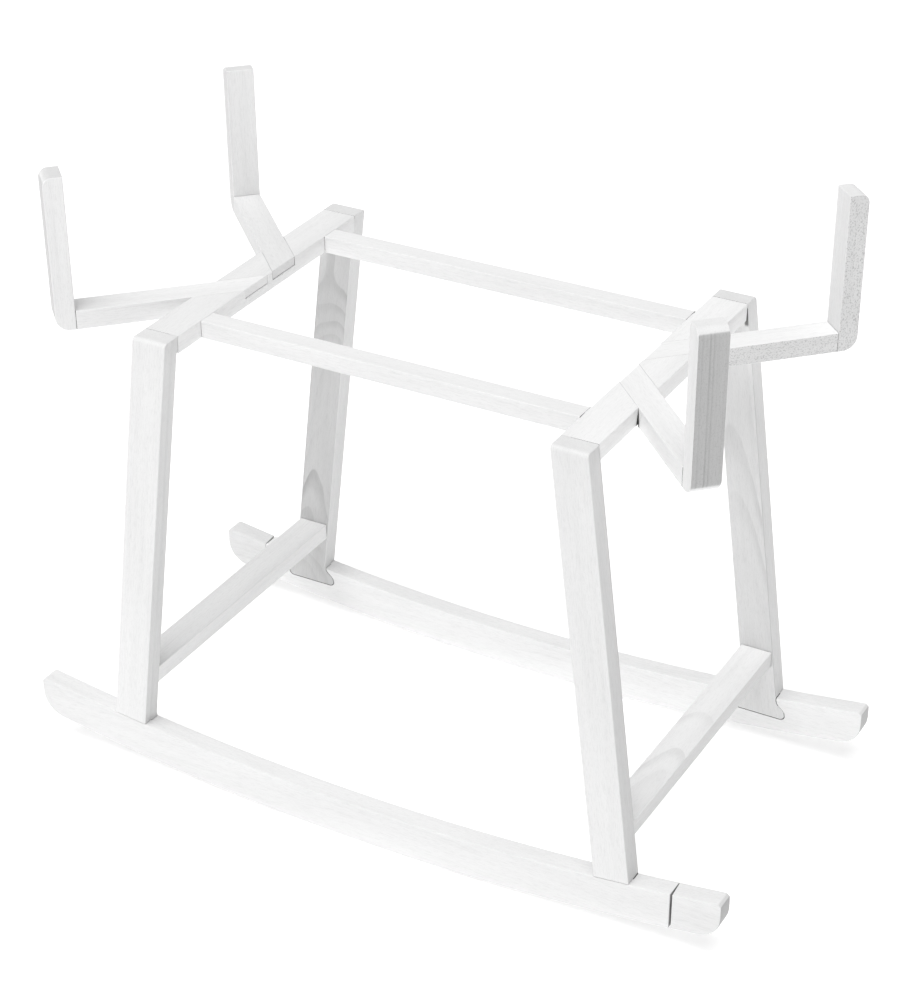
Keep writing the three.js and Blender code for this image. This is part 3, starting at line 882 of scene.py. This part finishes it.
@dataclass
class BasketArm(SubAssembly):
    """An arm, and the upright at its end that holds one corner of the basket."""

    row: Row
    side: Side
    arm: GlazedBeech
    upright: GlazedBeech
    easing: float = 1.0 * MM

    def boards(self) -> list[EasedBoard]:
        """Lists the pieces.

        Returns:
            Arm and upright.
        """
        kinds = {"arm": self.arm, "upright": self.upright}
        corner = f"{self.row.value}_{self.side.value}"
        return [EasedBoard(f"{kind}_{corner}", beech, radius=self.easing) for kind, beech in kinds.items()]


@dataclass
class Rocker(SubAssembly):
    """A rocker and its turning end piece, sawn from one board."""

    row: Row
    rocker: GlazedBeech
    stop: GlazedBeech

    def boards(self) -> list[EasedBoard]:
        """Lists the pieces.

        Returns:
            Rocker and end piece.
        """
        name = self.row.value
        stop = EasedBoard(f"rocker_stop_{name}", self.stop, body=f"{name}_stop")
        return [EasedBoard(f"rocker_{name}", self.rocker), stop]


# ---- Turned pieces -------------------------------------------------------------------------------


@dataclass(frozen=True)
class Axis:
    """Middle line of a turned solid.

    Attributes:
        start: its end where the solid is widest.
        along: direction to the other end.
        length: distance between both ends, in metres.
        radius: of the solid where it is widest.
    """

    start: np.ndarray
    along: np.ndarray
    length: float
    radius: float

    END = 1.0 * MM  # how much of the length counts as an end
    WIDER = 0.1 * MM  # least difference between the ends that counts

    @classmethod
    def of(cls, solid: bpy.types.Object) -> Axis:
        """Finds the middle line of a turned solid.

        Its direction is the one in which the corners spread most, which is the first principal
        direction of their places about their mean.

        Args:
            solid: a solid that is round about one straight line.

        Returns:
            The line, with the wider end as its start.
        """
        places = np.empty(3 * len(solid.data.vertices))
        solid.data.vertices.foreach_get("co", places)
        places = np.unique(places.reshape(-1, 3).round(7), axis=0)
        middle = places.mean(axis=0)
        along = np.linalg.svd(places - middle, full_matrices=False)[2][0]
        way = (places - middle) @ along
        off = np.linalg.norm(places - middle - np.outer(way, along), axis=1)
        if off[way > way.max() - cls.END].max() > off[way < way.min() + cls.END].max() + cls.WIDER:
            along, way = -along, -way
        return cls(middle + along * way.min(), along, float(np.ptp(way)), float(off.max()))


SKIN_WELD = 0.001 * MM
SHARP_EDGE = math.radians(30.0)
FLANK = 2.5  # how fast a thread's flank falls, in full depths to the turn


def turned_mesh(name: str, axis: Axis, way: np.ndarray, radius: np.ndarray) -> bpy.types.Mesh:
    """Makes the skin of a turned piece.

    A point of the grid is the start, plus the direction along times the way, plus the two directions
    across times the cosine and sine of the angle times the radius. Rows of radius zero close the
    ends. The map's sides are the distance round the piece and the way along it, in metres.

    Args:
        name: the mesh's name.
        axis: the piece's middle line.
        way: for each row and angle, the distance along the line.
        radius: for each row and angle, the distance from the line.

    Returns:
        The mesh.
    """
    rows, around = radius.shape
    angle = np.linspace(0.0, 2.0 * np.pi, around, endpoint=False)
    side = np.cross(axis.along, np.roll(axis.along, 1) + 0.1)
    side /= np.linalg.norm(side)
    other = np.cross(axis.along, side)
    ring = np.cos(angle)[:, None] * side + np.sin(angle)[:, None] * other
    points = axis.start + way[..., None] * axis.along + radius[..., None] * ring
    row, turn = np.meshgrid(np.arange(rows - 1), np.arange(around), indexing="ij")
    corners = ((0, 0), (0, 1), (1, 1), (1, 0))
    faces = np.stack([(row + up) * around + (turn + on) % around for up, on in corners], axis=-1)
    sides = np.stack([(turn + on) * (2.0 * np.pi * axis.radius / around) for _, on in corners], axis=-1)
    ways = np.stack([way[row + up, (turn + on) % around] for up, on in corners], axis=-1)
    mesh = bpy.data.meshes.new(name)
    mesh.from_pydata(points.reshape(-1, 3), [], faces.reshape(-1, 4))
    skin = mesh.uv_layers.new(name="skin")
    skin.data.foreach_set("uv", np.stack([sides, ways], axis=-1).ravel())
    shape = bmesh.new()
    shape.from_mesh(mesh)
    bmesh.ops.remove_doubles(shape, verts=shape.verts, dist=SKIN_WELD)
    bmesh.ops.recalc_face_normals(shape, faces=shape.faces)
    for face in shape.faces:
        face.smooth = True
    for edge in shape.edges:
        edge.smooth = edge.calc_face_angle(0.0) < SHARP_EDGE
    shape.to_mesh(mesh)
    shape.free()
    return mesh


def thread(way: np.ndarray, around: int, pitch: float, depth: float) -> np.ndarray:
    """Works out a screw thread.

    The place in a turn is the way over the pitch less the share of the angle. The thread gets
    deeper with the distance from the nearer end of the turn, until it has its full depth.

    Args:
        way: distances along the middle line.
        around: how many angles.
        pitch: of the thread.
        depth: from crest to root.

    Returns:
        Depth below the crest, for each distance and angle.
    """
    share = np.arange(around) / around
    place = (way[:, None] / pitch - share) % 1.0
    return depth * np.clip(FLANK * (0.5 - np.abs(place - 0.5)), 0.0, 1.0)


class TurnedPiece:
    """A kind of turned piece, and what all kinds share."""

    SLOT = "zinced_steel"

    def skin(self, axis: Axis) -> tuple[np.ndarray, np.ndarray]:
        """Works out the piece's surface.

        Args:
            axis: the piece's middle line.

        Returns:
            Way along the line and distance from it, for each row and angle.
        """
        raise NotImplementedError

    @staticmethod
    def rows(way: np.ndarray, around: int) -> np.ndarray:
        """The same way at every angle."""
        return np.repeat(way[:, None], around, axis=1)


@dataclass(frozen=True)
class FlutedDowel(TurnedPiece):
    """A beech dowel with rounded ends, and grooves along it that let air and glue out."""

    grooves: int = 14
    groove_depth: float = 0.35 * MM
    rounding: float = 1.0 * MM
    around: int = 84

    SLOT = "plain_beech"
    END_ROWS = 5
    MIDDLE = (0.25, 0.5, 0.75)  # further rows, in lengths
    GROOVE_SHARPNESS = 6

    def skin(self, axis: Axis) -> tuple[np.ndarray, np.ndarray]:
        """Works out the dowel's surface.

        The radius is the dowel's, less a quarter circle at either end, less a groove's depth times
        the sixth power of the cosine of half the grooves times the angle.

        Args:
            axis: the dowel's middle line.

        Returns:
            Way and radius of every point.
        """
        turn = np.linspace(0.0, np.pi / 2.0, self.END_ROWS)
        rise = self.rounding * (1.0 - np.cos(turn))
        inward = self.rounding * (1.0 - np.sin(turn))
        middle = np.array(self.MIDDLE) * axis.length
        way = np.concatenate([[0.0], rise, middle, axis.length - rise[::-1], [axis.length]])
        drop = np.concatenate([[axis.radius], inward, 0.0 * middle, inward[::-1], [axis.radius]])
        angle = np.linspace(0.0, 2.0 * np.pi, self.around, endpoint=False)
        groove = self.groove_depth * np.cos(self.grooves * angle / 2.0) ** self.GROOVE_SHARPNESS
        radius = axis.radius - drop[:, None] - np.where(drop[:, None] < axis.radius, groove, 0.0)
        return self.rows(way, self.around), np.clip(radius, 0.0, None)


@dataclass(frozen=True)
class CountersunkScrew(TurnedPiece):
    """A wood screw with a flat countersunk head and a cross recess."""

    head_height: float = 2.4 * MM
    shank: float = 1.8 * MM
    tip: float = 1.8 * MM
    pitch: float = 1.6 * MM
    thread_depth: float = 0.55 * MM
    recess: float = 1.3 * MM
    recess_reach: float = 2.1 * MM
    recess_width: float = 0.5 * MM
    around: int = 32

    RECESS_SIDE = 0.3 * MM  # width of its sloping sides
    RECESS_END = 0.6 * MM  # length of its sloping ends
    FACE_ROWS = 14
    TURN_ROWS = 8  # to a turn of the thread

    def skin(self, axis: Axis) -> tuple[np.ndarray, np.ndarray]:
        """Works out the face with its recess, the cone, the threaded shank and the tip.

        The recess is deep where the nearer of the two cross arms is closer than half its width, and
        fades out toward its reach. Below the head the thread's depth comes off the radius.

        Args:
            axis: the screw's middle line, from its head.

        Returns:
            Way and radius of every point.
        """
        face = np.linspace(0.0, axis.radius, self.FACE_ROWS)
        angle = np.arange(self.around) * (2.0 * np.pi / self.around)
        off = face[:, None] * np.minimum(np.abs(np.cos(angle)), np.abs(np.sin(angle)))
        arm = np.clip(1.0 - (off - self.recess_width) / self.RECESS_SIDE, 0.0, 1.0)
        left = np.clip((self.recess_reach - face[:, None]) / self.RECESS_END, 0.0, 1.0)
        deep = self.recess * arm * left
        steps = int((axis.length - self.head_height) / self.pitch * self.TURN_ROWS)
        way = np.linspace(self.head_height, axis.length, steps)
        smooth = self.shank * np.clip((axis.length - way) / self.tip, 0.0, 1.0)
        cut = thread(way, self.around, self.pitch, self.thread_depth) * (smooth / self.shank)[:, None]
        radius = np.concatenate([self.rows(face, self.around), smooth[:, None] - cut])
        return np.concatenate([deep, self.rows(way, self.around)]), radius


@dataclass(frozen=True)
class HangerBolt(TurnedPiece):
    """The pivot bolt: machine thread in the rocker's sleeve, wood thread and point in the end piece."""

    machine_length: float = 26.0 * MM
    machine_pitch: float = 1.0 * MM
    wood_pitch: float = 2.5 * MM
    machine_depth: float = 0.5 * MM
    wood_depth: float = 0.9 * MM
    tip: float = 4.0 * MM
    around: int = 32

    TURN_ROWS = 7.0  # to a turn of the machine thread

    def skin(self, axis: Axis) -> tuple[np.ndarray, np.ndarray]:
        """Works out both threads: each one's depth comes off its part of the length.

        Args:
            axis: the bolt's middle line, from its machine thread.

        Returns:
            Way and radius of every point.
        """
        way = np.arange(0.0, axis.length, self.machine_pitch / self.TURN_ROWS)
        way = np.append(way, axis.length)
        smooth = axis.radius * np.clip((axis.length - way) / self.tip, 0.0, 1.0)
        machine = thread(way, self.around, self.machine_pitch, self.machine_depth)
        wood = thread(way, self.around, self.wood_pitch, self.wood_depth)
        cut = np.where(way[:, None] < self.machine_length, machine, wood)
        radius = smooth[:, None] - cut * (smooth / axis.radius)[:, None]
        way = np.concatenate([[0.0], way])
        radius = np.concatenate([np.zeros((1, self.around)), radius])
        return self.rows(way, self.around), radius


@dataclass(frozen=True)
class ThreadedSleeve(TurnedPiece):
    """The sleeve in the rocker's end: wood thread outside, bore for the pivot bolt inside."""

    bore: float = 3.3 * MM
    pitch: float = 2.5 * MM
    depth: float = 0.9 * MM
    around: int = 48

    TURN_ROWS = 10.0  # to a turn of the thread

    def skin(self, axis: Axis) -> tuple[np.ndarray, np.ndarray]:
        """Works out the threaded outside, and the bore on the way back.

        Args:
            axis: the sleeve's middle line.

        Returns:
            Way and radius of every point.
        """
        way = np.arange(0.0, axis.length, self.pitch / self.TURN_ROWS)
        way = np.append(way, axis.length)
        outside = axis.radius - thread(way, self.around, self.pitch, self.depth)
        inside = np.full((2, self.around), self.bore)
        radius = np.concatenate([outside, inside, outside[:1]])
        way = np.concatenate([way, [axis.length, 0.0, 0.0]])
        return self.rows(way, self.around), radius


TURNED_KINDS = {
    "dowel": FlutedDowel(),
    "arm_screw": CountersunkScrew(),
    "stop_bolt": HangerBolt(),
    "stop_insert": ThreadedSleeve(),
}


@dataclass
class Hardware:
    """All turned pieces of one kind, each in its own node's place."""

    kind: str
    finish: bpy.types.Material
    body_of: Callable[[str], str]

    def make(self, shop: Shop) -> list[bpy.types.Object]:
        """Builds the pieces of this kind."""
        return [self._make_one(shop, node) for node in shop.solids if self.kind in node]

    def _make_one(self, shop: Shop, node: str) -> bpy.types.Object:
        """Builds the piece that takes one node's place.

        Args:
            shop: the frame's nodes.
            node: name of that node.

        Returns:
            The new object.
        """
        shape = TURNED_KINDS[self.kind]
        axis = Axis.of(shop.solids[node])
        mesh = turned_mesh(node + "_turned", axis, *shape.skin(axis))
        mesh.materials.append(self.finish)
        piece = bpy.data.objects.new(node + "_turned", mesh)
        bpy.context.scene.collection.objects.link(piece)
        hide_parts(node)
        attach(piece, self.body_of(node))
        return piece


# ---- Studio --------------------------------------------------------------------------------------


@dataclass
class Studio:
    """White floor, soft lights and the camera.

    Attributes:
        azimuth: of the camera, in degrees to the right of the front.
        elevation: of the camera, in degrees above the floor.
        distance: from the camera to its aim, in metres.
        aim: the point it turns about.
        roll: how far it is tilted sideways, in degrees.
        focal_in_frames: its focal length over the picture's height.
        offset: its shift.
        sun_azimuth: of the overhead light, in degrees to the right of the front.
        sun_elevation: in degrees above the floor.
        sun_spread: width of that light seen from the stand, in degrees.
        sun_strength: its brightness.
    """

    azimuth: float = 29.82
    elevation: float = 32.37
    distance: float = 2.8278
    aim: tuple[float, float, float] = (-0.01296, 0.00045, 0.19551)
    roll: float = -0.575
    focal_in_frames: float = 2.46092
    offset: tuple[float, float] = (0.02083, 0.10436)
    sun_azimuth: float = -8.0
    sun_elevation: float = 70.0
    sun_spread: float = 55.0
    sun_strength: float = 2.32

    FLOOR = 60.0  # half its width
    SENSOR = 36.0
    SURROUND = 0.34  # strength of the light from all round

    def make(self) -> None:
        """Builds floor, lights and camera."""
        self._floor()
        self._world()
        self._sun()
        self._camera()

    def _floor(self) -> None:
        """A wide flat sweep under the stand."""
        corners = ((-1.0, -1.0), (1.0, -1.0), (1.0, 1.0), (-1.0, 1.0))
        mesh = bpy.data.meshes.new("floor")
        mesh.from_pydata([(x * self.FLOOR, y * self.FLOOR, 0.0) for x, y in corners], [], [(0, 1, 2, 3)])
        floor = bpy.data.objects.new("floor", mesh)
        mesh.materials.append(WhiteFloor().make())
        bpy.context.scene.collection.objects.link(floor)
        floor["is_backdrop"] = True

    def _world(self) -> None:
        """Even white light from all round, in front of a backdrop that is seen as plain white."""
        world = bpy.data.worlds.new("studio")
        nodes = NodeTree(world)
        backdrop = nodes.add("LightPath", out="Is Camera Ray")
        strength = nodes.add("MapRange", backdrop, 0.0, 1.0, self.SURROUND, 1.0)
        nodes.add("OutputWorld", nodes.add("Background", PURE_WHITE, strength))
        bpy.context.scene.world = world

    def _sun(self) -> None:
        """A far, wide soft light, which is as bright on every part of the floor."""
        data = bpy.data.lights.new("overhead", "SUN")
        data.angle = math.radians(self.sun_spread)
        data.energy = self.sun_strength
        light = bpy.data.objects.new("overhead", data)
        light.rotation_euler.x = math.radians(90.0 - self.sun_elevation)
        light.rotation_euler.z = math.radians(self.sun_azimuth)
        bpy.context.scene.collection.objects.link(light)
        light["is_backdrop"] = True

    def _camera(self) -> None:
        """The camera, aimed from its azimuth and elevation, with its small roll."""
        azimuth, elevation = math.radians(self.azimuth), math.radians(self.elevation)
        back = Vector((math.sin(azimuth), -math.cos(azimuth), math.tan(elevation))).normalized()
        right = (-back).cross(UP).normalized()
        up = right.cross(-back)
        roll = math.radians(self.roll)
        turned_right = right * math.cos(roll) + up * math.sin(roll)
        turned_up = up * math.cos(roll) - right * math.sin(roll)
        data = bpy.data.cameras.new("camera")
        data.sensor_fit = "VERTICAL"
        data.sensor_height = self.SENSOR
        data.lens = self.focal_in_frames * self.SENSOR
        data.shift_x, data.shift_y = self.offset
        camera = bpy.data.objects.new("camera", data)
        camera.matrix_world = Matrix.Translation(Vector(self.aim) + back * self.distance) @ Matrix(
            (turned_right, turned_up, back)
        ).transposed().to_4x4()
        bpy.context.scene.collection.objects.link(camera)
        bpy.context.scene.camera = camera


def colour_management() -> None:
    """Plain sRGB view, so that white paper comes out white."""
    view = bpy.context.scene.view_settings
    view.view_transform = "Standard"
    view.look = "None"


LEG_LEAN = 7.3
LEG_GAP_BELOW_TOP = 3.0 * MM
TO_LEFT_LEG = (0.0, 90.0 - LEG_LEAN, 0.0)
TO_RIGHT_LEG = (0.0, 90.0 + LEG_LEAN, 0.0)
TO_RIGHT_ARM = (0.0, 0.0, 45.0)
TO_LEFT_ARM = (0.0, 0.0, -45.0)
FACING_FRONT = (0.0, -1.0, 0.0)
FACING_RIGHT = (1.0, 0.0, 0.0)
FACING_FRONT_RIGHT = (math.sqrt(0.5), -math.sqrt(0.5), 0.0)
FACING_FRONT_LEFT = (-math.sqrt(0.5), -math.sqrt(0.5), 0.0)


def dry_corners(solids: dict[str, bpy.types.Object]) -> tuple[PaintedGapShade, PaintedGapShade]:
    """Finds the two corners of the right end rail's outer face where the shade of an open gap is painted.

    The first is between the rail and the front arm: that arm's near side is the plane on which minus
    x minus y is greatest. The second is where the rail's rear end meets the leg.

    Args:
        solids: the frame's nodes by name.

    Returns:
        Both corners.
    """
    near_side = max(-corner.co.x - corner.co.y for corner in solids["arm_front_right"].data.vertices)
    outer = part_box("end_rail_right")[1]
    at_arm = (outer.x, -near_side - outer.x, outer.z)
    at_leg = (outer.x, outer.y, outer.z - LEG_GAP_BELOW_TOP)
    # painted shade of an open gap, at the arm and at the leg
    return (
        PaintedGapShade(at_arm, depth=20.0 * MM, width=3.8 * MM, dark=0.97),
        PaintedGapShade(at_leg, depth=20.0 * MM, width=2.0 * MM, dark=0.8),
    )


def board(turn: tuple[float, float, float], cut: Cut, heart: float, seed: int,
          **glaze: object) -> GlazedBeech:
    """A board under its own glaze."""
    return GlazedBeech(turn, cut, heart, seed, Glaze(**glaze))


def assemblies(solids: dict[str, bpy.types.Object]) -> dict[str, SubAssembly]:
    """Lists the wooden sub-assemblies, with the board that each piece was cut from.

    Args:
        solids: the frame's nodes by name.

    Returns:
        The sub-assemblies by name.
    """
    # corners where the shade of an open gap is painted
    at_arm, at_leg = dry_corners(solids)
    along_x, along_y, along_z = (grain.value for grain in Grain)
    light = Coat(tone=1.07)
    dull = Coat(tone=0.92)
    # ray flecks of the wood, with the tone of painted shade on the face it is given to
    speckled_and_shaded = Coat(tone=0.88, flecks=13.0)
    # the one face of a board whose tone is painted lighter or darker for how light falls on it
    to_right = {"thin_face": FACING_RIGHT}
    to_front = {"thin_face": FACING_FRONT}
    to_front_left = {"thin_face": FACING_FRONT_LEFT}
    to_front_right = {"thin_face": FACING_FRONT_RIGHT}
    return {
        "left end frame": EndFrame(
            Side.LEFT,
            rail=board(along_y, STRAIGHT, heart=20.0, seed=11, thin=light, **to_right),
            stretcher=board(
                along_y, BROAD, heart=20.0, seed=12, usual=Coat(tone=0.95, lines=3.3), thin=light, **to_right
            ),
            legs={
                Row.FRONT: board(
                    TO_LEFT_LEG, STRAIGHT, heart=70.0, seed=13,
                    thin=Coat(tone=0.87, lines=3.0), end=0.08, **to_right,
                ),
                Row.REAR: board(
                    TO_LEFT_LEG, CATHEDRAL, heart=0.0, seed=14,
                    usual=dull, thin=Coat(tone=0.76, lines=11.0), end=0.0, **to_front,
                ),
            },
        ),
        "right end frame": EndFrame(
            Side.RIGHT,
            rail=board(along_y, STRAIGHT, heart=10.0, seed=21, usual=light, dry=(at_arm, at_leg)),
            stretcher=board(
                along_y, FLAMED, heart=90.0, seed=22,
                usual=Coat(tone=1.08, lines=5.5), thin=Coat(tone=0.93), **to_right,
            ),
            legs={
                Row.FRONT: board(
                    TO_RIGHT_LEG, STRAIGHT, heart=80.0, seed=23,
                    usual=Coat(tone=0.95), thin=Coat(tone=0.83, lines=6.0), end=0.0, **to_right,
                ),
                Row.REAR: board(
                    TO_RIGHT_LEG, BROAD, heart=10.0, seed=24,
                    usual=dull, thin=Coat(tone=0.89, lines=8.0), end=0.0, dry=(at_leg,), **to_front,
                ),
            },
        ),
        "long rails": LongRails(
            {
                Row.FRONT: board(along_x, STRAIGHT, heart=75.0, seed=31, usual=Coat(tone=1.03)),
                Row.REAR: board(along_x, STRAIGHT, heart=60.0, seed=32, usual=Coat(tone=1.03)),
            }
        ),
        "front left arm": BasketArm(
            Row.FRONT,
            Side.LEFT,
            arm=board(TO_LEFT_ARM, STRAIGHT, heart=80.0, seed=41, usual=light),
            upright=board(
                along_z, STRAIGHT, heart=135.0, seed=42,
                usual=light, thin=Coat(tone=0.80), end=0.3, **to_front_left,
            ),
        ),
        "front right arm": BasketArm(
            Row.FRONT,
            Side.RIGHT,
            arm=board(TO_RIGHT_ARM, STRAIGHT, heart=80.0, seed=43, usual=light, dry=(at_arm,)),
            upright=board(
                along_z, STRIPED, heart=-45.0, seed=44,
                thin=Coat(tone=0.60, lines=16.0, flecks=5.0), end=0.0, **to_front_right,
            ),
        ),
        "rear left arm": BasketArm(
            Row.REAR,
            Side.LEFT,
            arm=board(TO_RIGHT_ARM, STRAIGHT, heart=80.0, seed=45, usual=Coat(tone=0.95)),
            upright=board(
                along_z, STRAIGHT, heart=-45.0, seed=46,
                usual=light, thin=Coat(tone=0.88), end=0.25, **to_front_left,
            ),
        ),
        "rear right arm": BasketArm(
            Row.REAR,
            Side.RIGHT,
            arm=board(TO_LEFT_ARM, BROAD, heart=0.0, seed=47, usual=light, thin=speckled_and_shaded, **to_front_right),
            upright=board(along_z, BROAD, heart=45.0, seed=48, thin=speckled_and_shaded, end=0.0, **to_front_right),
        ),
        "front rocker": Rocker(
            Row.FRONT,
            rocker=board(along_x, BROAD, heart=15.0, seed=51, usual=Coat(tone=0.98), end=0.75),
            stop=board(along_x, BROAD, heart=15.0, seed=51, usual=Coat(tone=0.95), end=0.75),
        ),
        "rear rocker": Rocker(
            Row.REAR,
            rocker=board(along_x, BROAD, heart=40.0, seed=52, usual=Coat(tone=1.06), end=0.75),
            stop=board(along_x, BROAD, heart=40.0, seed=52, usual=Coat(tone=0.94), end=0.65),
        ),
    }


def hardware() -> dict[str, Hardware]:
    """Lists the dowels, screws, bolts and sleeves inside the joints.

    Returns:
        Each kind by name.
    """
    beech = PlainBeech().make()
    steel = ZincedSteel().make()
    return {
        "dowels": Hardware("dowel", beech, lambda node: "stand"),
        "arm screws": Hardware("arm_screw", steel, lambda node: "stand"),
        "pivot bolts": Hardware("stop_bolt", steel, lambda node: node.removeprefix("stop_bolt_") + "_stop"),
        "pivot sleeves": Hardware("stop_insert", steel, lambda node: "stand"),
    }


def main() -> None:
    """Builds the stand and its studio, piece by piece."""
    logging.basicConfig(level=logging.INFO, format="%(message)s")
    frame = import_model()
    cad_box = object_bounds()
    shop = Shop(frame["nodes"], UnglazedBeech().make())
    for name, group in {**assemblies(shop.solids), **hardware()}.items():
        for piece in group.make(shop):
            LOG.info("%s: %s", name, piece.name)
    Studio().make()
    colour_management()
    boxes = {"cad": cad_box, "visual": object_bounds()}
    {name: [list(corner) for corner in box] for name, box in boxes.items()}


if __name__ == "__main__":
    main()
